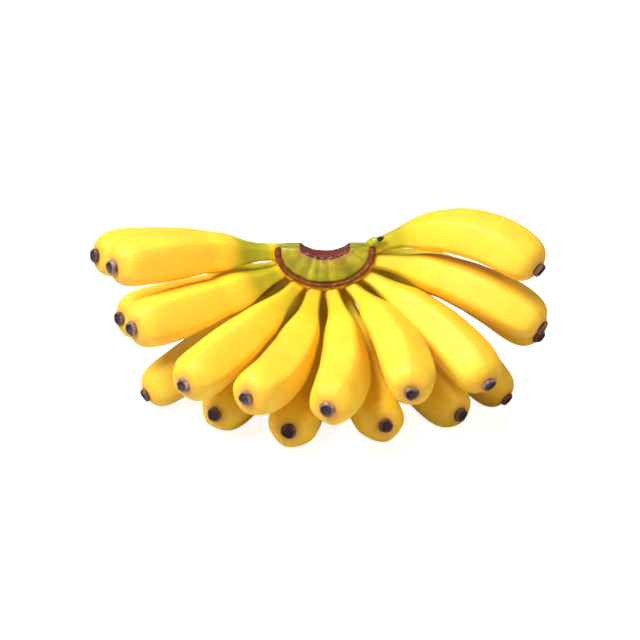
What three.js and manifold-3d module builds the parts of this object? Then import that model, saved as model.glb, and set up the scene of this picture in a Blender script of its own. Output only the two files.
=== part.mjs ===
// A hand of baby bananas: two rows of short fingers grown together on one crown,
// each finger ending in the dried remnant of its flower.
// Millimetres, +Z up, the hand standing on the fingers of its back row.
import * as THREE from "three";
import { mergeVertices } from "three/addons/utils/BufferGeometryUtils.js";
import Module from "manifold-3d";

const wasm = await Module();
wasm.setup();

// ---- Driving dimensions -------------------------------------------------

const CROWN_HEIGHT = 82; // the crown's centre above what the hand stands on
const CROWN_LEAN = 12; // degrees that the crown's axis points up from level
const SEAT_HALF_WIDTH = 25; // the oval on which the fingers are seated: across
const SEAT_HALF_DROP = 20.5; // and downwards
const ROW_OFFSET = { front: 5, back: -6 }; // each row's seats along the axis

const CROWN_HALF_WIDTH = 27; // the fused cushion of flesh behind the scar
const CROWN_HALF_DROP = 21.5;
const CROWN_SHOULDER = 4.5; // the shoulders' height above the centre
const CUT_RADIUS = 20; // the hollow left where the hand was cut from its stalk
const CUT_DEPTH = 0; // how far the hollow dips below the crown's centre
const CUT_SLOPE = 9; // degrees that the cut falls away to the back

const SCAR_RADIUS = 1.6; // the corky ridge where the bract was attached
const SCAR_HALF_WIDTH = 24.4; // the oval that it runs along
const SCAR_HALF_DROP = 17.4;
const SCAR_OFFSET = 10.4; // its place along the axis
const SCAR_SWEEP = 94; // degrees to each side of straight down

const NUB_FOOT = [21.8, -8.4, 88]; // a stunted finger on the right shoulder
const NUB_END = [29.8, -14, 93];
const NUB_RADIUS = 2.3;
const NUB_GREEN_PART = 0.66; // the fraction of it that is still green

const FINGER_RADIUS = 14.4; // half of the full girth, across the ridges
const FINGER_SIDES = 15;
const RIDGES = 5; // soft lengthwise ridges on the peel
const RIDGE_DEPTH = 0.05; // as a fraction of the radius

const BLOSSOM_RADIUS = 4.1; // the dried flower remnant on a finger's end
const BLOSSOM_LENGTH = 2.2;
const BLOSSOM_SIDES = 10;

const GAP = 0.3; // clearance between neighbouring pieces

// Along a finger: fraction of its length, fraction of its full radius. The thin
// pedicel comes first, then the shoulder, the full body and the blunt end.
const FINGER_PROFILE = [
  [0, 0.25],
  [0.08, 0.29],
  [0.16, 0.365],
  [0.24, 0.52],
  [0.33, 0.71],
  [0.44, 0.87],
  [0.57, 0.97],
  [0.7, 1],
  [0.8, 0.99],
  [0.88, 0.93],
  [0.94, 0.8],
  [0.98, 0.6],
  [1, 0.36],
];

// The two rows, from the left end of the hand to the right. seat: degrees round
// the crown from straight down. tip: where the finger ends, seen from the point
// under the crown's centre. bow: how far the middle is bent off a straight line.
const FINGERS = {
  front: [
    { seat: -86, tip: [-105, -49, 88], bow: [-2, 5, 1.4] },
    { seat: -60, tip: [-95, -62, 61], bow: [-2, 3, -3.9] },
    { seat: -33, tip: [-69, -79, 38], bow: [-1.2, 1, -4.9], girth: 0.99 },
    { seat: -12, tip: [-38.5, -91, 37], bow: [4, -1, -8.6] },
    { seat: 8, tip: [0, -98, 34], bow: [7.5, -1, -7] },
    { seat: 30, tip: [40, -94, 40], bow: [8, 1, -2], girth: 0.97 },
    { seat: 54, tip: [81, -65, 32], bow: [5, 3, -0.1] },
    { seat: 76, tip: [110, -41, 53], bow: [2.2, 1, 5.7] },
    { seat: 95, tip: [105, -50, 86], bow: [2, 4, 12.5] },
  ],
  back: [
    { seat: -88, tip: [-120, -10, 82], bow: [-1, 13, -3] },
    { seat: -64, tip: [-106, -28, 54], bow: [-2, 8, -7] },
    { seat: -44, tip: [-97, -13, 4.5], bow: [-1, 9, -8] },
    { seat: -24, tip: [-56.5, -54, 12], bow: [-0.5, 10, -15] },
    { seat: -3, tip: [-18.5, -72, 11], bow: [1.5, 8, -15.5] },
    { seat: 21, tip: [30, -72, 14], bow: [0.1, 6, -15.4] },
    { seat: 43, tip: [70, -46, 8], bow: [0.5, 7, -12] },
    { seat: 67, tip: [98.5, -10, 0.5], bow: [4, 10, -7] },
    { seat: 90, tip: [113, -14, 38], bow: [6, 15, 0] },
  ],
};

const PEEL = { color: 0xf2cf2e, roughness: 0.45, metalness: 0 };
const PEEL_GREEN = { color: 0x9aa83a, roughness: 0.55, metalness: 0 };
const CROWN_GREEN = { color: 0xa9b030, roughness: 0.6, metalness: 0 };
const CORK = { color: 0x7a3a1a, roughness: 0.85, metalness: 0 };
const DRIED = { color: 0x3a2028, roughness: 0.9, metalness: 0 };

// ---- The crown's own directions -----------------------------------------

const rad = THREE.MathUtils.degToRad;
const lean = rad(CROWN_LEAN);
const CENTRE = new THREE.Vector3(0, 0, CROWN_HEIGHT);
const ACROSS = new THREE.Vector3(1, 0, 0);
const AXIS = new THREE.Vector3(0, -Math.cos(lean), Math.sin(lean));
const DOWN = new THREE.Vector3(0, -Math.sin(lean), -Math.cos(lean));
const CROWN_FRAME = new THREE.Matrix4()
  .makeBasis(ACROSS, DOWN.clone().negate(), AXIS)
  .setPosition(CENTRE);

// A point on an oval round the crown's axis, seat degrees from straight down.
function onCrown(seat, halfWidth, halfDrop, along) {
  const a = rad(seat);
  return CENTRE.clone()
    .addScaledVector(ACROSS, halfWidth * Math.sin(a))
    .addScaledVector(DOWN, halfDrop * Math.cos(a))
    .addScaledVector(AXIS, along);
}

// ---- Solids and meshes ---------------------------------------------------

// One closed indexed surface, its shared vertices merged, its faces outwards.
function closed(geometry) {
  const bare = geometry.index ? geometry.toNonIndexed() : geometry;
  const g = mergeVertices(
    new THREE.BufferGeometry().setAttribute(
      "position",
      bare.getAttribute("position"),
    ),
    1e-4,
  );
  const kept = [];
  const old = g.index.array;
  for (let i = 0; i < old.length; i += 3) {
    const [a, b, c] = [old[i], old[i + 1], old[i + 2]];
    if (a !== b && b !== c && c !== a) kept.push(a, b, c);
  }
  if (enclosed(g, kept) < 0)
    for (let i = 0; i < kept.length; i += 3)
      [kept[i + 1], kept[i + 2]] = [kept[i + 2], kept[i + 1]];
  g.setIndex(kept);
  g.computeVertexNormals();
  return g;
}

// Six times the volume that the triangles enclose, negative if inside out.
function enclosed(geometry, index) {
  const p = geometry.getAttribute("position");
  const [a, b, c] = [0, 1, 2].map(() => new THREE.Vector3());
  let sum = 0;
  for (let i = 0; i < index.length; i += 3) {
    a.fromBufferAttribute(p, index[i]);
    b.fromBufferAttribute(p, index[i + 1]);
    c.fromBufferAttribute(p, index[i + 2]);
    sum += a.dot(b.cross(c));
  }
  return sum;
}

function solid(geometry) {
  return new wasm.Manifold(
    new wasm.Mesh({
      numProp: 3,
      vertProperties: new Float32Array(geometry.getAttribute("position").array),
      triVerts: new Uint32Array(geometry.index.array),
    }),
  );
}

function surface(made) {
  const m = made.getMesh();
  const g = new THREE.BufferGeometry();
  g.setAttribute("position", new THREE.BufferAttribute(m.vertProperties, 3));
  g.setIndex(new THREE.BufferAttribute(m.triVerts, 1));
  g.computeVertexNormals();
  return g;
}

function piece(name, geometry, look) {
  const mesh = new THREE.Mesh(geometry, new THREE.MeshStandardMaterial(look));
  mesh.name = name;
  return mesh;
}

// ---- A finger and its dried flower ---------------------------------------

// A finger's centre line, and the directions across it at each place.
function spine({ row, seat, tip, bow }) {
  const start = onCrown(seat, SEAT_HALF_WIDTH, SEAT_HALF_DROP, ROW_OFFSET[row]);
  const end = new THREE.Vector3(...tip);
  const pull = start
    .clone()
    .add(end)
    .multiplyScalar(0.5)
    .addScaledVector(new THREE.Vector3(...bow), 2);
  const curve = new THREE.QuadraticBezierCurve3(start, pull, end);
  const side = new THREE.Vector3()
    .crossVectors(pull.clone().sub(start), end.clone().sub(start))
    .normalize();
  const first = new THREE.Vector3().crossVectors(side, curve.getTangent(0));
  // A face of the peel, midway between two ridges, looks along the crown's axis
  // where the finger starts.
  const roll = Math.atan2(AXIS.dot(side), AXIS.dot(first)) + Math.PI / RIDGES;
  const length = curve.getLength();

  // A frame at a distance along the line, which may lie just beyond its ends.
  const at = (distance) => {
    const t = THREE.MathUtils.clamp(distance / length, 0, 1);
    const along = curve.getTangentAt(t);
    const out = new THREE.Vector3().crossVectors(side, along);
    const u = out
      .clone()
      .multiplyScalar(Math.cos(roll))
      .addScaledVector(side, Math.sin(roll));
    const v = new THREE.Vector3().crossVectors(along, u);
    return new THREE.Matrix4()
      .makeBasis(u, v, along)
      .setPosition(
        curve.getPointAt(t).addScaledVector(along, distance - t * length),
      );
  };
  return { at, length: length - BLOSSOM_LENGTH - GAP };
}

// The finger's peel as a turned shape with soft ridges, laid along its centre
// line. grow is an extra all round, for cutting its seat out of a neighbour.
function fingerGeometry(line, girth, grow) {
  const profile = FINGER_PROFILE.map(
    ([t, r]) =>
      new THREE.Vector2(r * FINGER_RADIUS * girth + grow, t * line.length),
  );
  profile[0].y -= grow;
  profile[profile.length - 1].y += grow;
  const g = new THREE.LatheGeometry(
    [new THREE.Vector2(0, profile[0].y), ...profile,
      new THREE.Vector2(0, profile[profile.length - 1].y)],
    FINGER_SIDES,
  );
  const p = g.getAttribute("position");
  const point = new THREE.Vector3();
  for (let i = 0; i < p.count; i++) {
    point.fromBufferAttribute(p, i);
    const angle = Math.atan2(point.z, point.x);
    const ridge = 1 - RIDGE_DEPTH * (0.5 - 0.5 * Math.cos(RIDGES * angle));
    const along = point.y;
    point.set(point.x * ridge, point.z * ridge, 0).applyMatrix4(line.at(along));
    p.setXYZ(i, point.x, point.y, point.z);
  }
  return closed(g);
}

// The remnant: a short collar with a dished end.
function blossomGeometry(line, girth) {
  const r = BLOSSOM_RADIUS * girth;
  const h = BLOSSOM_LENGTH;
  const outline = [
    [0, 0],
    [0.94 * r, 0],
    [r, 0.4 * h],
    [0.88 * r, 0.85 * h],
    [0.68 * r, h],
    [0.4 * r, 0.6 * h],
    [0, 0.45 * h],
  ].map(([x, y]) => new THREE.Vector2(x, y));
  const g = new THREE.LatheGeometry(outline, BLOSSOM_SIDES);
  g.rotateX(Math.PI / 2);
  g.applyMatrix4(line.at(line.length + GAP));
  return closed(g);
}

// ---- The crown ------------------------------------------------------------

// The fused cushion, turned about the crown's axis and flattened to an oval.
function cushion() {
  const outline = [
    [0, -12],
    [16, -11.8],
    [23, -10.6],
    [26.2, -7.5],
    [27, -2],
    [27, 4],
    [26, 8],
    [23.6, 10.2],
    [17, 11.4],
    [9, 12.2],
    [0, 12.4],
  ].map(([x, y]) => new THREE.Vector2((x / 27) * CROWN_HALF_WIDTH, y));
  const g = new THREE.LatheGeometry(outline, 32);
  g.rotateX(Math.PI / 2);
  g.scale(1, CROWN_HALF_DROP / CROWN_HALF_WIDTH, 1);
  g.applyMatrix4(CROWN_FRAME);
  return solid(closed(g));
}

// What was cut away above: everything over the shoulders, and a round hollow.
function cutAway() {
  const front = new THREE.Vector3(0, -12, CROWN_HEIGHT); // the slope starts here
  const slope = new THREE.Matrix4()
    .makeTranslation(front.x, front.y, front.z)
    .multiply(new THREE.Matrix4().makeRotationX(-rad(CUT_SLOPE)));
  const over = new THREE.BoxGeometry(120, 120, 60);
  over.translate(0, 0, CROWN_SHOULDER + 30);
  const hollow = new THREE.CylinderGeometry(CUT_RADIUS, CUT_RADIUS, 120, 40);
  hollow.translate(0, 0, CUT_RADIUS - CUT_DEPTH);
  for (const tool of [over, hollow]) tool.applyMatrix4(slope);
  return solid(closed(over)).add(solid(closed(hollow)));
}

// The corky ridge: a round bead along the lower half of the cushion's edge.
function scarGeometry(grow) {
  const sweep = SCAR_SWEEP + grow * 2;
  class ScarLine extends THREE.Curve {
    getPoint(t, target = new THREE.Vector3()) {
      return target.copy(
        onCrown(
          THREE.MathUtils.lerp(-sweep, sweep, t),
          SCAR_HALF_WIDTH,
          SCAR_HALF_DROP,
          SCAR_OFFSET,
        ),
      );
    }
  }
  const section = new THREE.Shape();
  section.absarc(0, 0, SCAR_RADIUS + grow, 0, 2 * Math.PI);
  return closed(
    new THREE.ExtrudeGeometry(section, {
      curveSegments: 4,
      steps: 28,
      bevelEnabled: false,
      extrudePath: new ScarLine(),
    }),
  );
}

// The stunted finger: a short nub on the right shoulder, thin at its foot. Its
// outline is given as a fraction of its length and of its radius.
function nubGeometry(from, to, outline) {
  const foot = new THREE.Vector3(...NUB_FOOT);
  const reach = new THREE.Vector3(...NUB_END).sub(foot);
  const length = reach.length();
  const g = new THREE.LatheGeometry(
    outline.map(
      ([t, r]) =>
        new THREE.Vector2(r * NUB_RADIUS, THREE.MathUtils.lerp(from, to, t) * length),
    ),
    10,
  );
  g.applyQuaternion(
    new THREE.Quaternion().setFromUnitVectors(
      new THREE.Vector3(0, 1, 0),
      reach.normalize(),
    ),
  );
  g.translate(foot.x, foot.y, foot.z);
  return closed(g);
}

// ---- The hand ---------------------------------------------------------------

const hand = new THREE.Group();
hand.name = "baby_banana_hand";

let number = 0;
let seats = null; // every finger's slightly larger self, joined
for (const row of ["front", "back"])
  for (const finger of FINGERS[row]) {
    number += 1;
    const label = String(number).padStart(2, "0");
    const line = spine({ row, ...finger });
    const girth = finger.girth ?? 1;
    hand.add(
      piece("finger_" + label, fingerGeometry(line, girth, 0), PEEL),
      piece("blossom_tip_" + label, blossomGeometry(line, girth), DRIED),
    );
    const seat = solid(fingerGeometry(line, girth, GAP));
    seats = seats ? seats.add(seat) : seat;
  }

const scarSeat = solid(scarGeometry(GAP));
const scar = solid(scarGeometry(0)).subtract(seats);
const crown = cushion().subtract(cutAway()).subtract(seats).subtract(scarSeat);
const nub = solid(
  nubGeometry(0, NUB_GREEN_PART, [
    [0, 0],
    [0, 0.7],
    [0.3, 0.95],
    [0.65, 1],
    [1, 0.62],
    [1, 0],
  ]),
);
hand.add(
  piece("crown", surface(crown), CROWN_GREEN),
  piece("bract_scar", surface(scar), CORK),
  piece("small_finger", surface(nub.subtract(seats).subtract(scarSeat)), PEEL_GREEN),
  piece(
    "small_finger_tip",
    nubGeometry(NUB_GREEN_PART + 0.04, 1, [
      [0, 0],
      [0, 0.58],
      [0.5, 0.5],
      [1, 0.2],
      [1, 0],
    ]),
    DRIED,
  ),
);

// The whole hand stands at the middle of its own footprint.
const box = new THREE.Box3().setFromObject(hand);
const middle = box.getCenter(new THREE.Vector3());
hand.position.set(-middle.x, -middle.y, -box.min.z);

export default hand;
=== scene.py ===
# %% [markdown]
# A hand of baby bananas. Two rows of short plump fingers have grown from one
# crown, and every finger ends in the dried remnant of its flower. This lesson
# models one straight finger and one remnant by hand, then lays a copy of each
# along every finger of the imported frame, so the frame settles all the places.

import math
import random

import bmesh
import bpy
import numpy as np
from mathutils import Matrix, Vector


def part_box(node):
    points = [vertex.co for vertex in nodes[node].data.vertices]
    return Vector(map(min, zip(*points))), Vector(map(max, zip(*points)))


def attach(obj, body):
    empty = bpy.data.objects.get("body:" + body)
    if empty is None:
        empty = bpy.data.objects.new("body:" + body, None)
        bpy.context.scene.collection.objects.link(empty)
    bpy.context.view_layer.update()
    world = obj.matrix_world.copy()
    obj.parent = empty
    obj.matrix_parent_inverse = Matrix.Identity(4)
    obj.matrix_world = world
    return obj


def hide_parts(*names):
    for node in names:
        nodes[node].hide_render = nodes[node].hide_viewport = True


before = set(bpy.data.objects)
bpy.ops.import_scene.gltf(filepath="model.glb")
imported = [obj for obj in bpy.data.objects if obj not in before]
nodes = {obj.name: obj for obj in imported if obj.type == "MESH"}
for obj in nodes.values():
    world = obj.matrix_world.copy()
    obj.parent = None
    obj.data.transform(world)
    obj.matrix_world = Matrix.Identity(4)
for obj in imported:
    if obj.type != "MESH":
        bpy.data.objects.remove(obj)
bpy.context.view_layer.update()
MM = 0.001
SAME_POINT = 0.01 * MM  # points closer than this are one point
FINGERS = ["%02d" % number for number in range(1, 19)]
print("nodes in the frame:", len(nodes))

# %% [markdown]
# Every operator acts on what is selected, and the frame arrives selected. These
# helpers start each piece from an empty selection, and name what they made.


# %% Small helpers for modelling
def deselect_all():
    if bpy.context.object and bpy.context.object.mode != "OBJECT":
        bpy.ops.object.mode_set(mode="OBJECT")
    bpy.ops.object.select_all(action="DESELECT")


def activate(piece):
    deselect_all()
    piece.select_set(True)
    bpy.context.view_layer.objects.active = piece


def edit_all(piece):
    """Opens the piece in edit mode with all its points selected."""
    activate(piece)
    bpy.ops.object.mode_set(mode="EDIT")
    bpy.ops.mesh.select_all(action="SELECT")


def named(name):
    piece = bpy.context.object
    piece.name = name
    piece.data.name = name
    return piece


def apply_modifier(piece, kind, **settings):
    """Adds a modifier with these settings and applies it."""
    activate(piece)
    modifier = piece.modifiers.new(kind.lower(), kind)
    for key, value in settings.items():
        setattr(modifier, key, value)
    bpy.ops.object.modifier_apply(modifier=modifier.name)


def smooth_levels(piece, levels):
    apply_modifier(piece, "SUBSURF", levels=levels, render_levels=levels)


def clouds(name, size, depth):
    """A cloud texture with lumps of this size, in this many layers of detail."""
    texture = bpy.data.textures.new(name, "CLOUDS")
    texture.noise_scale = size
    texture.noise_depth = depth
    return texture


def roughen(piece, texture, strength, level=0.5):
    """Pushes the points in and out; where the texture is at level they stay."""
    apply_modifier(
        piece,
        "DISPLACE",
        texture=texture,
        texture_coords="LOCAL",
        strength=strength,
        mid_level=level,
    )


def own_copy(source, name):
    """A copy with its own mesh, at the origin, shown like any other piece."""
    piece = bpy.data.objects.new(name, source.data.copy())
    piece.data.name = name
    bpy.context.scene.collection.objects.link(piece)
    return piece


def points_of(mesh):
    flat = np.empty(len(mesh.vertices) * 3)
    mesh.vertices.foreach_get("co", flat)
    return flat.reshape(-1, 3)


def set_points(mesh, points):
    mesh.vertices.foreach_set("co", np.asarray(points, float).ravel())
    mesh.update()


def write_mask(mesh, name, values):
    """A number for each point, or one for all, which a material reads by name."""
    mask = mesh.attributes.get(name) or mesh.attributes.new(name, "FLOAT", "POINT")
    spread = np.broadcast_to(np.asarray(values, np.float32), len(mesh.vertices))
    mask.data.foreach_set("value", np.ascontiguousarray(spread))


def ramp(value, low, high):
    """0 below low, 1 above high, and a smooth step between."""
    t = np.clip((value - low) / (high - low), 0, 1)
    return t * t * (3 - 2 * t)


# %% [markdown]
# A finger in the frame is a stack of rings between two poles. Read in order,
# the rings' middles give its centre line, and the point that is furthest from
# its ring's middle tells which way the ridges face. A smooth curve through the
# middles then carries anything that was modelled straight.

# %% Read a finger's centre line from the frame
CURVE_DEGREE = 4
NECK_RING = 6  # a ring between the two ends, where the centre line bends


def rings_of(node, from_point):
    """The points of each ring, in order, from the pole nearest to from_point."""
    work = bmesh.new()
    work.from_mesh(node.data)
    bmesh.ops.remove_doubles(work, verts=work.verts, dist=SAME_POINT)
    poles = sorted(work.verts, key=lambda v: -len(v.link_edges))[:2]
    start = min(poles, key=lambda v: (v.co - from_point).length)
    seen, ring, rings = {start}, [start], []
    while ring:
        rings.append(np.array([v.co[:] for v in ring]))
        ring = {e.other_vert(v) for v in ring for e in v.link_edges} - seen
        seen |= ring
    work.free()
    return rings[1:-1]


class Spine:
    """A finger's centre line, with the directions across it at each place."""

    def __init__(self, node, crown_point):
        rings = rings_of(node, crown_point)
        centres = np.array([ring.mean(axis=0) for ring in rings])
        steps = np.linalg.norm(np.diff(centres, axis=0), axis=1)
        places = np.concatenate([[0], np.cumsum(steps)])
        self.length = places[-1]
        self.curve = np.polyfit(places / self.length, centres, CURVE_DEGREE)
        bend = centres[NECK_RING]
        self.side = np.cross(bend - centres[0], centres[-1] - bend)
        self.side /= np.linalg.norm(self.side)
        reach = [np.linalg.norm(r - c, axis=1).max() for r, c in zip(rings, centres)]
        widest = int(np.argmax(reach))
        self.radius = reach[widest]
        away = rings[widest] - centres[widest]
        ridge = away[np.argmax(np.linalg.norm(away, axis=1))]
        out = self.across(places[widest] / self.length)[1]
        self.roll = math.atan2(ridge @ self.side, ridge @ out)

    def across(self, t):
        """The middle of the finger at t, and its outward and forward directions."""
        t = np.atleast_1d(t)
        orders = np.arange(CURVE_DEGREE, 0, -1)
        powers = t[:, None] ** np.append(orders, 0)
        slopes = orders * t[:, None] ** (orders - 1)
        forward = slopes @ self.curve[:-1]
        forward /= np.linalg.norm(forward, axis=1)[:, None]
        out = np.cross(self.side, forward)
        if len(t) == 1:
            return (powers @ self.curve)[0], out[0], forward[0]
        return powers @ self.curve, out, forward

    def lay(self, points):
        """Straight points, z along the finger in metres, laid on the centre line."""
        middle, out, forward = self.across(points[:, 2] / self.length)
        c, s = math.cos(self.roll), math.sin(self.roll)
        u = c * out + s * self.side
        v = np.cross(forward, u)
        return middle + points[:, :1] * u + points[:, 1:2] * v


# %% Measure the crown and the fingers
SHOULDER = 4.4 * MM  # the crown's shoulders stand this far above its centre
SET_BACK = 0.9 * MM  # its centre is this far behind the middle of its box
crown_low, crown_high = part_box("crown")
crown_middle = (crown_low + crown_high) / 2
CROWN_CENTRE = Vector(
    (crown_middle.x, crown_middle.y + SET_BACK, crown_high.z - SHOULDER)
)
SPINES = {n: Spine(nodes["finger_" + n], crown_middle) for n in FINGERS}
GIRTH = max(spine.radius for spine in SPINES.values())
LENGTH = float(np.mean([spine.length for spine in SPINES.values()]))
print("finger length %.1f mm, radius %.1f mm" % (LENGTH / MM, GIRTH / MM))

# %% [markdown]
# The finger and the flower's remnant are both round, and both change width all
# the way up. Each starts as a ring of points that is extruded in steps and
# scaled at each step, which sets a row of points wherever the width changes. A
# face then closes each open end.


# %% Extrude a ring in steps
def extruded_ring(name, sides, steps, radius, length):
    """Steps are (height, radius), as parts of the length and radius given."""
    foot, foot_radius = steps[0]
    deselect_all()
    bpy.ops.mesh.primitive_circle_add(
        vertices=sides,
        radius=foot_radius * radius,
        fill_type="NOTHING",
        location=(0, 0, foot * length),
    )
    piece = named(name)
    bpy.ops.object.transform_apply(location=True, rotation=False, scale=False)
    edit_all(piece)
    for (z0, r0), (z1, r1) in zip(steps, steps[1:]):
        bpy.ops.mesh.extrude_region_move(
            TRANSFORM_OT_translate={"value": (0, 0, (z1 - z0) * length)}
        )
        bpy.ops.transform.resize(value=(r1 / r0, r1 / r0, 1))
    bpy.ops.mesh.select_all(action="DESELECT")
    bpy.ops.mesh.select_non_manifold()
    bpy.ops.mesh.edge_face_add()
    bpy.ops.mesh.select_all(action="SELECT")
    bpy.ops.mesh.normals_make_consistent(inside=False)
    bpy.ops.object.mode_set(mode="OBJECT")
    return piece


# %% [markdown]
# The finger is modelled once, standing straight: first the stalk, which flares
# at its foot where it is grown into the crown, then the shoulder, the full body
# and the blunt end. Its round section is then pressed into five flat sides, and
# the corners between them are the peel's soft ridges.

# %% Model the straight finger
SIDES = 20
PROFILE = [  # the first place is below 0, where the stalk reaches into the crown
    (-0.025, 0.2),
    (-0.012, 0.31),
    (0.008, 0.345),
    (0.035, 0.315),
    (0.09, 0.315),
    (0.15, 0.365),
    (0.2, 0.445),
    (0.25, 0.555),
    (0.32, 0.7),
    (0.4, 0.825),
    (0.5, 0.93),
    (0.6, 0.985),
    (0.7, 1.01),
    (0.8, 1.005),
    (0.87, 0.965),
    (0.925, 0.875),
    (0.962, 0.745),
    (0.988, 0.56),
    (1.0, 0.36),
]
straight_finger = extruded_ring("straight_finger", SIDES, PROFILE, GIRTH, LENGTH)
print("straight finger:", len(straight_finger.data.vertices), "points")

# %% Inset both ends, so that smoothing keeps them blunt
END_INSETS = (1.2 * MM, 1.6 * MM)
bpy.ops.object.mode_set(mode="EDIT")
bpy.ops.mesh.select_mode(type="FACE")
bpy.ops.mesh.select_all(action="DESELECT")
bpy.ops.object.mode_set(mode="OBJECT")
for face in straight_finger.data.polygons:
    face.select = len(face.vertices) == SIDES
bpy.ops.object.mode_set(mode="EDIT")
for thickness in END_INSETS:
    bpy.ops.mesh.inset(thickness=thickness, depth=0)
bpy.ops.mesh.poke()
bpy.ops.mesh.select_mode(type="VERT")
bpy.ops.object.mode_set(mode="OBJECT")
print("with its ends:", len(straight_finger.data.polygons), "faces")

# %% Press five sides flat and smooth the finger
RIDGES = 5
FLATNESS = 0.82  # 0 is a round section, 1 a five-sided one with flat faces
FADE_START = 0.82  # the flats start to fade here, as a part of the length
FADE = 0.7  # and have lost this much of their depth at the end
SKIN_GAIN = 1.03  # smoothing draws the skin in a little, which this makes good


def ridge_height(points):
    """1 on a ridge and 0 midway between two ridges."""
    angle = np.arctan2(points[:, 1], points[:, 0])
    return 0.5 + 0.5 * np.cos(RIDGES * angle)


def five_sided(points):
    """The radius of a flat five-sided section, whose corners are the ridges."""
    half = math.pi / RIDGES
    angle = np.arctan2(points[:, 1], points[:, 0]) % (2 * half)
    return math.cos(half) / np.cos(angle - half)


cage = points_of(straight_finger.data)
fading = 1 - FADE * ramp(cage[:, 2] / LENGTH, FADE_START, 1.0)
pressed = 1 - FLATNESS * fading * (1 - five_sided(cage))
cage[:, :2] *= pressed[:, None]
set_points(straight_finger.data, cage)
smooth_levels(straight_finger, 2)
straight_finger.data.shade_smooth()
straight = points_of(straight_finger.data)
straight[:, :2] *= SKIN_GAIN
set_points(straight_finger.data, straight)
write_mask(straight_finger.data, "along", straight[:, 2] / LENGTH)
write_mask(straight_finger.data, "ridge", ridge_height(straight))
print("smoothed finger:", len(straight_finger.data.polygons), "faces")

# %% [markdown]
# No two fingers are alike. Each copy is laid along its own centre line, and a
# soft noise draws its peel in by up to a millimetre, in patches the size of a
# thumb print. The Displace modifier does that, applied to the copy where it
# lies, so that every finger gets different dents. The necks are swollen, more
# in the crowded back row, until neighbours meet as they do on a grown hand.

# %% Lay a copy along every finger
GREEN_NECKS = [1.0, 0.8, 0.5, 0.35, 0.3, 0.3, 0.45, 0.45, 0.65]  # left to right
NECK_GREEN = dict(zip(FINGERS, GREEN_NECKS * 2))
TIP_GREEN = dict(zip(FINGERS, [0.25] * 9 + [0.45] * 9))
FRONT_SWELL = [0.2, 0.35] + [0.15] * 7
BACK_SWELL = [0.0, 0.7] + [0.45] * 6 + [0.1]
NECK_SWELL = dict(zip(FINGERS, FRONT_SWELL + BACK_SWELL))
NECK_END = 0.42  # the swelling ends here, as a part of the length
DENT_DEPTH = 1.3 * MM
DENT_LEVEL = 0.84  # near the top of the noise, so nearly all dents go inwards
dents = clouds("peel_dents", size=26 * MM, depth=1)
dents.noise_basis = "ORIGINAL_PERLIN"


def lay_finger(number):
    spine = SPINES[number]
    piece = own_copy(straight_finger, "banana_" + number)
    points = points_of(piece.data)
    place = points[:, 2] / LENGTH
    swell = NECK_SWELL[number] * np.sin(math.pi * np.clip(place / NECK_END, 0, 1))
    points[:, 2] *= spine.length / LENGTH
    points[:, :2] *= (1 + swell)[:, None] * spine.radius / GIRTH
    set_points(piece.data, spine.lay(points))
    roughen(piece, dents, DENT_DEPTH, DENT_LEVEL)
    write_mask(piece.data, "green", NECK_GREEN[number])
    write_mask(piece.data, "tip_green", TIP_GREEN[number])
    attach(piece, "root")
    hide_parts("finger_" + number)
    return piece


fingers = {number: lay_finger(number) for number in FINGERS}
bpy.data.objects.remove(straight_finger)
print("fingers laid:", len(fingers))

# %% [markdown]
# The flower's remnant is a short dry collar round a dished pit. Its ring is
# extruded up, out and then down into the pit. Dried plant matter shrinks
# unevenly, so each copy is turned, pulled into lobes and nudged at random before
# it is smoothed, a little differently for each finger.

# %% Model the dried blossom
COLLAR_RADIUS = 3.75 * MM
COLLAR_HEIGHT = 2.0 * MM
COLLAR_SIDES = 15
COLLAR_STEPS = [
    (-0.25, 0.8),
    (0.0, 0.98),
    (0.3, 1.04),
    (0.7, 0.98),
    (0.98, 0.86),
    (1.0, 0.68),
    (0.72, 0.56),
    (0.52, 0.42),
    (0.5, 0.24),
    (0.62, 0.1),
]
straight_collar = extruded_ring(
    "straight_collar", COLLAR_SIDES, COLLAR_STEPS, COLLAR_RADIUS, COLLAR_HEIGHT
)
print("collar:", len(straight_collar.data.vertices), "points")

# %% Put a remnant on every finger's end
FRONT_WITHERED = [0.1, 0.2, 0.0, 0.1, 0.0, 0.3, 0.2, 0.5, 0.5]
WITHERED = dict(zip(FINGERS, FRONT_WITHERED + [0.9] * 9))
PIT_RIM = 0.95  # the pit starts inside this part of the radius
FIVE_LOBES = 0.05  # each as a part of the radius
THREE_LOBES = 0.04
TILT = 0.05  # how far the rim tips over, as a part of the height
NUDGE = 0.34 * MM


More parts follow.
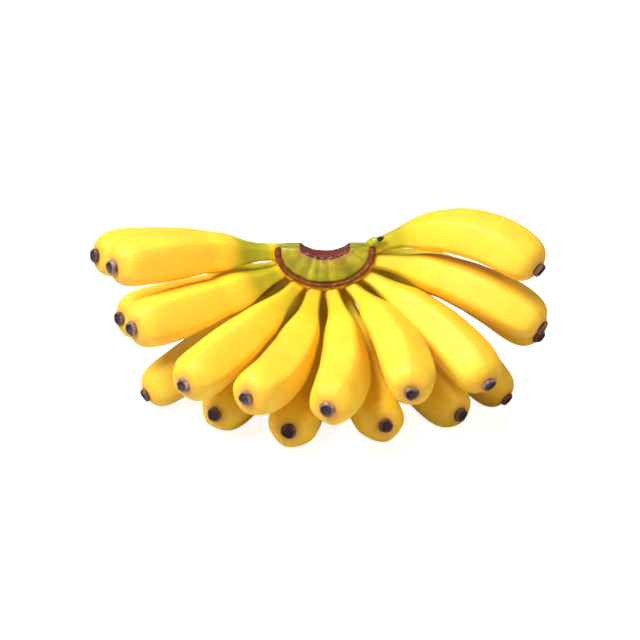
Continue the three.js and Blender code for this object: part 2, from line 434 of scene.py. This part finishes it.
def lay_blossom(number):
    spine = SPINES[number]
    chance = random.Random("blossom" + number)
    piece = own_copy(straight_collar, "blossom_" + number)
    points = points_of(piece.data)
    radial = np.linalg.norm(points[:, :2], axis=1) / COLLAR_RADIUS
    depth = points[:, 2] / COLLAR_HEIGHT
    pit = ramp(PIT_RIM - radial, 0.0, 0.42) * ramp(depth, 0.3, 0.6)
    write_mask(piece.data, "pit", pit)
    turn = chance.uniform(0, 2 * math.pi)
    angle = np.arctan2(points[:, 1], points[:, 0]) + turn
    lobes = 1 + FIVE_LOBES * np.cos(5 * angle) + THREE_LOBES * np.cos(3 * angle + 1)
    points[:, :2] *= (lobes * chance.uniform(0.94, 1.04))[:, None]
    points[:, 2] *= chance.uniform(0.85, 1.1)
    points[:, 2] += TILT * radial * COLLAR_HEIGHT * np.cos(angle)
    set_points(piece.data, points)
    edit_all(piece)
    bpy.ops.transform.vertex_random(offset=NUDGE, seed=int(number))
    bpy.ops.object.mode_set(mode="OBJECT")
    smooth_levels(piece, 2)
    piece.data.shade_smooth()
    laid = points_of(piece.data)
    laid[:, 2] += spine.length
    set_points(piece.data, spine.lay(laid))
    write_mask(piece.data, "withered", WITHERED[number])
    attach(piece, "root")
    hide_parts("blossom_tip_" + number)
    return piece


blossoms = {number: lay_blossom(number) for number in FINGERS}
bpy.data.objects.remove(straight_collar)
print("blossom remnants laid:", len(blossoms))

# %% [markdown]
# The crown is the cushion of flesh that all the stalks are grown into. Its
# sockets and its hollow cut are in the frame already, so a copy of that solid
# is merged and remeshed with small voxels, which welds the sockets' edges, and
# smoothed until it looks grown and not cut. Noise then gives it its lumps.


# %% Grow the crown from its solid
def grown_copy(node, name, voxel, rounds):
    """A copy of the node, remeshed at this voxel size and smoothed in rounds."""
    piece = own_copy(nodes[node], name)
    piece.data.materials.clear()
    edit_all(piece)
    bpy.ops.mesh.remove_doubles(threshold=SAME_POINT)
    bpy.ops.object.mode_set(mode="OBJECT")
    apply_modifier(piece, "REMESH", mode="VOXEL", voxel_size=voxel)
    apply_modifier(piece, "SMOOTH", factor=0.5, iterations=rounds)
    piece.data.shade_smooth()
    return piece


crown = grown_copy("crown", "crown_cushion", voxel=0.6 * MM, rounds=12)
roughen(crown, clouds("crown_lumps", size=9 * MM, depth=2), 1.4 * MM)
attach(crown, "root")
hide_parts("crown")
print("crown:", len(crown.data.polygons), "faces")

# %% [markdown]
# Each stalk that grew together here left a soft fold, so the crown's face fans
# out in shallow folds from a point above it. The points of the face are moved in
# and out along the crown's axis by a wave that turns round that point.

# %% Fold the crown's face like a fan
CROWN_LEAN = math.radians(12)
FOLDS = 20  # round the whole circle
FOLD_DEPTH = 0.3 * MM
FACE_PLACE = 9 * MM  # how far along the axis the face begins
FACE_SOFTNESS = 2 * MM
FAN_RISE = 12 * MM  # the fan's own middle above the crown's centre
UNEVENNESS = 0.1  # how far the folds stray from equal angles, in radians
axis = Vector((0, -math.cos(CROWN_LEAN), math.sin(CROWN_LEAN)))
down = Vector((0, -math.sin(CROWN_LEAN), -math.cos(CROWN_LEAN)))
face_points = points_of(crown.data)
from_centre = face_points - np.array(CROWN_CENTRE)
along_axis = from_centre @ np.array(axis)
sideways = from_centre[:, 0]
dropped = from_centre @ np.array(down)
around = np.arctan2(sideways, dropped + FAN_RISE)
around += UNEVENNESS * np.sin(5 * around + 1)
folds = np.cos(FOLDS * around)
on_face = ramp(along_axis, FACE_PLACE, FACE_PLACE + FACE_SOFTNESS)
out_of_face = np.outer(FOLD_DEPTH * folds * on_face, np.array(axis))
set_points(crown.data, face_points + out_of_face)
# The fold mask is 0 in the hollows between the folds, where the crown's skin gets
# painted shade.
write_mask(crown.data, "fold", 1 - on_face * (0.5 - 0.5 * folds))
print("folds:", FOLDS)

# %% [markdown]
# Where it was cut from the stalk the crown has a round hollow, dark red inside,
# with a dried brown lip. Masks over the crown's points mark it, because the
# shape is known here and noise in a material would blur it: a point is in the
# cut if it is no further from the hollow's own centre line than the hollow is
# wide. Another mask marks the yellow web outside the corky ridge, where the
# stalks have grown together.

# %% Mark the cut and the web on the crown
CUT_RADIUS = 20 * MM
CUT_HALF_WIDTH = 12.6 * MM
CUT_SLOPE = math.radians(9)
CUT_START = 12 * MM  # how far in front of the crown's centre its slope starts
CUT_EDGE = (-1.9 * MM, 0.1 * MM)  # each edge fades in from the first to the second
CUT_END = (-1 * MM, 1 * MM)
DRIED_EDGE = (-5.5 * MM, -1 * MM)
DRIED_END = (-4 * MM, 0)
SCAR_HALF_WIDTH = 24.4 * MM
SCAR_HALF_DROP = 17.4 * MM
WEB_EDGE = (0.98, 1.06)  # as parts of the corky ridge's oval
behind = from_centre[:, 1] + CUT_START
height = from_centre[:, 2] * math.cos(CUT_SLOPE) + behind * math.sin(CUT_SLOPE)
inside = CUT_RADIUS - np.hypot(sideways, CUT_RADIUS - height)
from_end = CUT_HALF_WIDTH - np.abs(sideways)
in_cut = ramp(inside, *CUT_EDGE) * ramp(from_end, *CUT_END)
near_cut = ramp(inside, *DRIED_EDGE) * ramp(from_end, *DRIED_END)
oval = np.hypot(sideways / SCAR_HALF_WIDTH, dropped / SCAR_HALF_DROP)
write_mask(crown.data, "cut", in_cut)
write_mask(crown.data, "dried", near_cut)
write_mask(crown.data, "web", ramp(oval, *WEB_EDGE))
print("points in the cut:", int((in_cut > 0.5).sum()))

# %% [markdown]
# The bract that once covered the flowers left a corky ridge, like a piece of
# rope along the crown's lower edge. An oval of bezier curve with a round bevel
# is the shape of it: made a mesh, cut off above the shoulders, and roughened.

# %% Make the corky ridge
SCAR_THICKNESS = 1.65 * MM
SOLID_THICKNESS = 1.6 * MM  # the radius of the solid it stands for
FRONT_INSET = 1.9 * MM  # from the front of the solid to its lowest middle
scar_low, scar_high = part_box("bract_scar")
scar_half_width = (scar_high.x - scar_low.x) / 2 - SOLID_THICKNESS
scar_half_drop = scar_half_width * SCAR_HALF_DROP / SCAR_HALF_WIDTH
lowest_middle = Vector(
    (
        (scar_low.x + scar_high.x) / 2,
        scar_low.y + FRONT_INSET,
        scar_low.z + SOLID_THICKNESS,
    )
)
scar_centre = lowest_middle - down * scar_half_drop

deselect_all()
bpy.ops.curve.primitive_bezier_circle_add(radius=scar_half_width)
oval_curve = bpy.context.object.data
oval_curve.bevel_depth = SCAR_THICKNESS
oval_curve.bevel_resolution = 4
oval_curve.resolution_u = 40
bpy.ops.object.convert(target="MESH")
scar = named("bract_scar_ridge")
squash = Matrix.Diagonal((1, scar_half_drop / scar_half_width, 1, 1))
facing = Matrix((Vector((1, 0, 0)), -down, axis)).transposed().to_4x4()
scar.data.transform(Matrix.Translation(scar_centre) @ facing @ squash)
print("scar centre (mm):", [round(c / MM, 1) for c in scar_centre])

# %% Cut the ridge off above the shoulders and roughen it
SCAR_TOP = 2.2 * MM  # where it is cut off, above its own centre
edit_all(scar)
bpy.ops.mesh.remove_doubles(threshold=SAME_POINT)
bpy.ops.mesh.bisect(
    plane_co=scar_centre - down * SCAR_TOP,
    plane_no=-down,
    clear_outer=True,
    use_fill=True,
)
bpy.ops.object.mode_set(mode="OBJECT")
apply_modifier(scar, "REMESH", mode="VOXEL", voxel_size=0.35 * MM)
apply_modifier(scar, "SMOOTH", factor=0.5, iterations=6)
roughen(scar, clouds("cork_grain", size=2.2 * MM, depth=2), 0.8 * MM)
scar.data.shade_smooth()
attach(scar, "root")
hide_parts("bract_scar")
print("corky ridge:", len(scar.data.polygons), "faces")

# %% [markdown]
# A finger that never filled out stands on the crown's right shoulder: a green
# nub with a dried black point. Both grow from their solids like the crown.

# %% Make the stunted finger
nub = grown_copy("small_finger", "stunted_finger", voxel=0.3 * MM, rounds=6)
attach(nub, "root")
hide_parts("small_finger")

nub_point = grown_copy(
    "small_finger_tip", "stunted_finger_point", voxel=0.2 * MM, rounds=4
)
write_mask(nub_point.data, "pit", 1.0)
write_mask(nub_point.data, "withered", 1.0)
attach(nub_point, "root")
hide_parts("small_finger_tip")
print("stunted finger:", len(nub.data.polygons), "faces")

# %% [markdown]
# Materials are built from nodes. A few short helpers keep them readable: they
# add a node and feed its sockets, blend two colours, or make a colour ramp.
# Colours are given as they look on screen and turned into the linear values
# that nodes use.


# %% Colours and node helpers
def linear(red, green, blue):
    """A colour as it looks on screen, 0 to 255, in the values that nodes use."""
    shown = np.array([red, green, blue]) / 255
    low = shown / 12.92
    high = ((shown + 0.055) / 1.055) ** 2.4
    return (*np.where(shown <= 0.04045, low, high).tolist(), 1.0)


def grey(value):
    return (value, value, value, 1.0)


def feed(tree, socket, value):
    """Links another node's output to the socket, or sets the socket's value."""
    if isinstance(value, bpy.types.NodeSocket):
        tree.links.new(value, socket)
    else:
        socket.default_value = value


def feed_all(tree, node, inputs):
    """Inputs maps a socket's name or number to a value or another's output."""
    for key, value in inputs.items():
        feed(tree, node.inputs[key], value)


def add_node(tree, kind, inputs=None, **settings):
    node = tree.nodes.new("ShaderNode" + kind)
    for key, value in settings.items():
        setattr(node, key, value)
    feed_all(tree, node, inputs or {})
    return node


def colour_ramp(tree, factor, stops):
    """An eased ramp through (place, colour) stops."""
    node = add_node(tree, "ValToRGB", {"Fac": factor})
    elements = node.color_ramp.elements
    node.color_ramp.interpolation = "EASE"
    elements[0].position, elements[0].color = stops[0]
    elements[1].position, elements[1].color = stops[-1]
    for place, colour in stops[1:-1]:
        elements.new(place).color = colour
    return node.outputs["Color"]


def blend_colour(tree, factor, first, second):
    """The first colour where the factor is 0, the second where it is 1."""
    node = tree.nodes.new("ShaderNodeMix")
    node.data_type = "RGBA"
    feed_all(tree, node, {0: factor, 6: first, 7: second})
    return node.outputs[2]


def maths(tree, operation, first, second=0.0, third=0.0, clamp=False):
    return add_node(
        tree,
        "Math",
        {0: first, 1: second, 2: third},
        operation=operation,
        use_clamp=clamp,
    ).outputs[0]


def times(tree, first, second, clamp=False):
    return maths(tree, "MULTIPLY", first, second, clamp=clamp)


def read_mask(tree, name):
    return add_node(tree, "Attribute", attribute_name=name).outputs["Fac"]


def place_on_piece(tree):
    return add_node(tree, "TexCoord").outputs["Object"]


def bumped(tree, height, strength, distance):
    """The surface's direction, tipped by this height."""
    return add_node(
        tree, "Bump", {"Strength": strength, "Distance": distance, "Height": height}
    ).outputs["Normal"]


# %% Helpers for materials and shared groups
def new_material(name):
    """A material with a Principled shader; returns it, its tree and the shader."""
    material = bpy.data.materials.new(name)
    material.use_nodes = True
    tree = material.node_tree
    return material, tree, tree.nodes["Principled BSDF"]


def coat(piece, material):
    piece.data.materials.clear()
    piece.data.materials.append(material)


def new_group(name, inputs):
    """A node group with number inputs and one mask, and its two end nodes."""
    tree = bpy.data.node_groups.new(name, "ShaderNodeTree")
    for label, value in inputs.items():
        socket = tree.interface.new_socket(
            label, in_out="INPUT", socket_type="NodeSocketFloat"
        )
        socket.default_value = value
    tree.interface.new_socket("Mask", in_out="OUTPUT", socket_type="NodeSocketFloat")
    start = tree.nodes.new("NodeGroupInput")
    end = tree.nodes.new("NodeGroupOutput")
    return tree, start.outputs, end.inputs


def group_mask(tree, group, inputs):
    """The mask that a shared group gives for these inputs."""
    node = tree.nodes.new("ShaderNodeGroup")
    node.node_tree = group
    feed_all(tree, node, inputs)
    return node.outputs["Mask"]


# %% [markdown]
# Two effects are shared. Patches are soft clouds that make a colour uneven, at
# a size given in millimetres. Flecks are small sharp spots, such as the brown
# freckles on peel and the dark grains in cork.

# %% The shared patches and flecks
MM_IN_METRE = 1000.0

patches, given, result = new_group(
    "soft_patches", {"Size mm": 12.0, "Detail": 3.0, "Contrast": 1.0}
)
cloud = add_node(
    patches,
    "TexNoise",
    {
        "Vector": place_on_piece(patches),
        "Scale": maths(patches, "DIVIDE", MM_IN_METRE, given["Size mm"]),
        "Detail": given["Detail"],
    },
).outputs["Fac"]
centred = maths(patches, "SUBTRACT", cloud, 0.5)
stronger = times(patches, centred, given["Contrast"])
feed(patches, result["Mask"], maths(patches, "ADD", stronger, 0.5, clamp=True))

flecks, given, result = new_group(
    "fine_flecks", {"Size mm": 1.5, "Amount": 0.1, "Softness": 0.1}
)
from_fleck = add_node(
    flecks,
    "TexVoronoi",
    {
        "Vector": place_on_piece(flecks),
        "Scale": maths(flecks, "DIVIDE", MM_IN_METRE, given["Size mm"]),
    },
).outputs["Distance"]
inwards = maths(flecks, "SUBTRACT", given["Amount"], from_fleck)
fleck_mask = maths(flecks, "DIVIDE", inwards, given["Softness"], clamp=True)
feed(flecks, result["Mask"], fleck_mask)
print("shared groups:", [group.name for group in bpy.data.node_groups])

# %% [markdown]
# Ripe peel is a saturated yellow with a thin wax. Light enters it and comes out
# warmer, so it has some subsurface scattering. It is greener round the neck,
# yellow again at the foot of the stalk, and a trace green before the blossom.
# The ridges are a touch deeper in colour, and a few freckles and faint brown
# smudges have started.


# %% The peel
def peel_material():
    material, tree, shader = new_material("ripe_peel")
    along = read_mask(tree, "along")
    cloud = group_mask(tree, patches, {"Size mm": 16.0, "Contrast": 2.6})
    streak = group_mask(tree, patches, {"Size mm": 5.0, "Contrast": 2.0})
    ripe = linear(253, 211, 58)
    base = colour_ramp(
        tree,
        along,
        [
            (0.0, linear(242, 198, 28)),
            (0.1, linear(242, 212, 34)),
            (0.3, linear(250, 214, 46)),
            (0.6, ripe),
            (0.94, ripe),
            (0.985, linear(246, 196, 44)),
            (1.0, linear(226, 170, 60)),
        ],
    )
    neck = colour_ramp(
        tree,
        along,
        [(0.02, grey(0)), (0.07, grey(1)), (0.18, grey(0.9)), (0.33, grey(0))],
    )
    neck = times(tree, neck, read_mask(tree, "green"))
    neck = times(tree, neck, maths(tree, "ADD", cloud, 0.45), clamp=True)
    colour = blend_colour(tree, neck, base, linear(140, 164, 4))
    tip = colour_ramp(
        tree, along, [(0.86, grey(0)), (0.955, grey(1)), (1.0, grey(0.7))]
    )
    tip = times(tree, times(tree, tip, streak), read_mask(tree, "tip_green"))
    colour = blend_colour(tree, tip, colour, linear(186, 190, 14))
    warm = times(tree, cloud, 0.25)
    colour = blend_colour(tree, warm, colour, linear(248, 180, 18))
    crest = maths(tree, "POWER", read_mask(tree, "ridge"), 14.0)
    colour = blend_colour(tree, times(tree, crest, 0.3), colour, linear(226, 160, 20))
    freckle = group_mask(tree, flecks, {"Size mm": 6.0, "Amount": 0.07})
    freckle = times(tree, times(tree, freckle, streak), 0.35)
    colour = blend_colour(tree, freckle, colour, linear(150, 96, 30))
    smudge = group_mask(tree, patches, {"Size mm": 14.0, "Contrast": 4.0})
    smudge = times(tree, maths(tree, "SUBTRACT", smudge, 0.7, clamp=True), 0.45)
    colour = blend_colour(tree, smudge, colour, linear(206, 150, 60))
    grain = add_node(
        tree,
        "TexNoise",
        {"Vector": place_on_piece(tree), "Scale": 900.0, "Detail": 3.0},
    ).outputs["Fac"]
    feed_all(
        tree,
        shader,
        {
            "Base Color": colour,
            "Roughness": maths(tree, "MULTIPLY_ADD", streak, 0.12, 0.54),
            "Normal": bumped(tree, grain, 0.12, 0.2 * MM),
            "Subsurface Weight": 0.2,
            "Subsurface Radius": (1.0, 0.35, 0.05),
            "Subsurface Scale": 3 * MM,
            "Specular IOR Level": 0.4,
            "Coat Weight": 0.35,
            "Coat Roughness": 0.7,
        },
    )
    return material


peel = peel_material()
for piece in fingers.values():
    coat(piece, peel)
print("peel given to", len(fingers), "fingers")

# %% [markdown]
# The dried blossom is purple-brown and matt: nearly black in the pit, with a
# paler, greyish pink skin on the collar. The more withered ones are darker.


# %% The dried blossom
def blossom_material():
    material, tree, shader = new_material("dried_blossom")
    cloud = group_mask(tree, patches, {"Size mm": 1.6, "Contrast": 3.0})
    grain = group_mask(tree, patches, {"Size mm": 0.5, "Contrast": 2.0})
    skin = blend_colour(tree, cloud, linear(84, 56, 62), linear(186, 146, 140))
    withered = times(tree, read_mask(tree, "withered"), 0.75)
    skin = blend_colour(tree, withered, skin, linear(66, 34, 26))
    hollow = blend_colour(tree, cloud, linear(12, 8, 16), linear(44, 28, 34))
    feed_all(
        tree,
        shader,
        {
            "Base Color": blend_colour(tree, read_mask(tree, "pit"), skin, hollow),
            "Roughness": 0.8,
            "Normal": bumped(tree, grain, 0.6, 0.3 * MM),
        },
    )
    return material


dried = blossom_material()
for piece in [*blossoms.values(), nub_point]:
    coat(piece, dried)
print("dried blossom given to", len(blossoms) + 1, "pieces")

# %% [markdown]
# The crown's skin is still green, stained yellow and brown where sap dried, and
# satin, and shade is painted darker into the hollows between its folds. The cut
# is dark red and fibrous, and its lip has dried to dark brown.
# Noise wanders the lip a little, so that it looks torn where the knife left it.


# %% The crown's skin and cut
def crown_material():
    material, tree, shader = new_material("crown_skin")
    cloud = group_mask(tree, patches, {"Size mm": 9.0, "Contrast": 3.0})
    stain = group_mask(tree, patches, {"Size mm": 6.0, "Contrast": 4.0})
    fibre = group_mask(tree, patches, {"Size mm": 1.5, "Contrast": 3.0})
    ragged = group_mask(tree, patches, {"Size mm": 1.6, "Contrast": 3.0})
    cut = read_mask(tree, "cut")
    near_lip = maths(tree, "PINGPONG", cut, 0.5)
    wander = times(tree, maths(tree, "SUBTRACT", ragged, 0.5), near_lip)
    cut = maths(tree, "ADD", cut, times(tree, wander, 1.6), clamp=True)
    skin = blend_colour(tree, cloud, linear(138, 154, 12), linear(190, 188, 42))
    skin = blend_colour(tree, times(tree, stain, 0.5), skin, linear(148, 100, 16))
    # Painted shade: the skin is darker in the hollows between the face's folds.
    painted_fold_shade = maths(tree, "SUBTRACT", 0.4, read_mask(tree, "fold"), clamp=True)
    skin = blend_colour(tree, painted_fold_shade, skin, linear(112, 96, 10))
    dried_skin = times(tree, read_mask(tree, "dried"), 0.75)
    skin = blend_colour(tree, dried_skin, skin, linear(170, 122, 60))
    skin = blend_colour(tree, read_mask(tree, "web"), skin, linear(228, 188, 26))
    flesh = blend_colour(tree, fibre, linear(64, 6, 4), linear(150, 36, 22))
    lip = colour_ramp(
        tree, cut, [(0.12, grey(0)), (0.3, grey(1)), (0.65, grey(1)), (0.9, grey(0))]
    )
    colour = blend_colour(tree, cut, skin, flesh)
    feed_all(
        tree,
        shader,
        {
            "Base Color": blend_colour(tree, lip, colour, linear(46, 14, 6)),
            "Roughness": 0.45,
            "Normal": bumped(tree, fibre, 0.3, 0.4 * MM),
            "Subsurface Weight": 0.15,
            "Subsurface Radius": (1.0, 0.6, 0.1),
            "Subsurface Scale": 2 * MM,
        },
    )
    return material


coat(crown, crown_material())
print("crown given its skin and cut")

# %% [markdown]
# Cork is warm brown and rough, in uneven patches with dark grains that stand up
# a little. The stunted finger's peel is a mottled green, because it stopped
# growing before the others ripened.


# %% The cork and the stunted finger's green peel
def cork_material():
    material, tree, shader = new_material("bract_cork")
    cloud = group_mask(tree, patches, {"Size mm": 3.0, "Contrast": 3.0})
    grain = group_mask(tree, flecks, {"Size mm": 0.9, "Amount": 0.5})
    colour = blend_colour(tree, cloud, linear(104, 38, 4), linear(142, 70, 14))
    colour = blend_colour(tree, times(tree, grain, 0.4), colour, linear(52, 18, 8))
    normal = bumped(tree, grain, 0.5, 0.3 * MM)
    feed_all(
        tree, shader, {"Base Color": colour, "Roughness": 0.6, "Normal": normal}
    )
    return material


def green_peel_material():
    material, tree, shader = new_material("green_peel")
    cloud = group_mask(tree, patches, {"Size mm": 3.0, "Contrast": 3.0})
    colour = blend_colour(tree, cloud, linear(120, 140, 20), linear(196, 196, 50))
    feed_all(tree, shader, {"Base Color": colour, "Roughness": 0.5})
    return material


coat(scar, cork_material())
coat(nub, green_peel_material())
print("materials:", len(bpy.data.materials))

# %% [markdown]
# The hand stands on a plain pale floor in a white room. Both look white to the
# camera, but they light the hand only weakly, so that its fingers keep their
# shading. An emission that only the camera's own rays see does that.

# %% Floor and room
FLOOR_SIZE = 6  # metres
FLOOR_GLOW = 0.85  # seen by the camera only
ROOM_GLOW = 0.9  # seen by the camera only
ROOM_LIGHT = 0.2

deselect_all()
bpy.ops.mesh.primitive_plane_add(size=FLOOR_SIZE, location=(0, 0, 0))
floor = named("floor")
floor_material, floor_tree, floor_shader = new_material("pale_floor")
seen = add_node(floor_tree, "LightPath").outputs["Is Camera Ray"]
feed_all(
    floor_tree,
    floor_shader,
    {
        "Base Color": grey(0.7),
        "Roughness": 0.9,
        "Specular IOR Level": 0.0,
        "Emission Color": grey(1),
        "Emission Strength": times(floor_tree, seen, FLOOR_GLOW),
    },
)
coat(floor, floor_material)

world = bpy.data.worlds.new("bright_room")
world.use_nodes = True
room = world.node_tree
seen = add_node(room, "LightPath").outputs["Is Camera Ray"]
brightness = maths(room, "MULTIPLY_ADD", seen, ROOM_GLOW, ROOM_LIGHT)
feed_all(
    room, room.nodes["Background"], {"Color": grey(1), "Strength": brightness}
)
bpy.context.scene.world = world
bpy.context.scene.view_settings.view_transform = "Standard"
print("floor:", FLOOR_SIZE, "m across")

# %% [markdown]
# A large lamp at the upper left makes the pale upper faces, and a weak warm one
# on the right keeps the shaded sides golden, like light thrown back between
# ripe fingers. The camera looks down on the hand at twenty degrees.

# %% Lamps and camera
LAMP_SIZE = 0.6
LIT_POINT = Vector((0, 0, 50 * MM))
CAMERA_HEIGHT = math.radians(20)
CAMERA_DISTANCE = 0.7
CAMERA_LENS = 75.7
AIM_BELOW = 36.4 * MM  # the camera aims below the crown's centre
AIM_LEFT = 2.6 * MM


def lamp(name, place, power, colour):
    data = bpy.data.lights.new(name, "AREA")
    data.shape, data.size, data.energy, data.color = "DISK", LAMP_SIZE, power, colour
    piece = bpy.data.objects.new(name, data)
    bpy.context.scene.collection.objects.link(piece)
    piece.location = place
    towards = LIT_POINT - piece.location
    piece.rotation_euler = towards.to_track_quat("-Z", "Y").to_euler()


lamp("overhead", (-0.5, -0.4, 0.9), 16.8, (1, 1, 1))
lamp("warm_fill", (0.8, -0.5, 0.4), 2.6, (1, 0.78, 0.45))

camera = bpy.data.objects.new("camera", bpy.data.cameras.new("camera"))
bpy.context.scene.collection.objects.link(camera)
camera.data.lens = CAMERA_LENS
back = Vector((0, -math.cos(CAMERA_HEIGHT), math.sin(CAMERA_HEIGHT)))
up = Vector((0, math.sin(CAMERA_HEIGHT), math.cos(CAMERA_HEIGHT)))
target = CROWN_CENTRE - up * AIM_BELOW - Vector((AIM_LEFT, 0, 0))
camera.location = target + back * CAMERA_DISTANCE
camera.rotation_euler = back.to_track_quat("Z", "Y").to_euler()
bpy.context.scene.camera = camera
print("camera at (mm):", [round(c / MM) for c in camera.location])
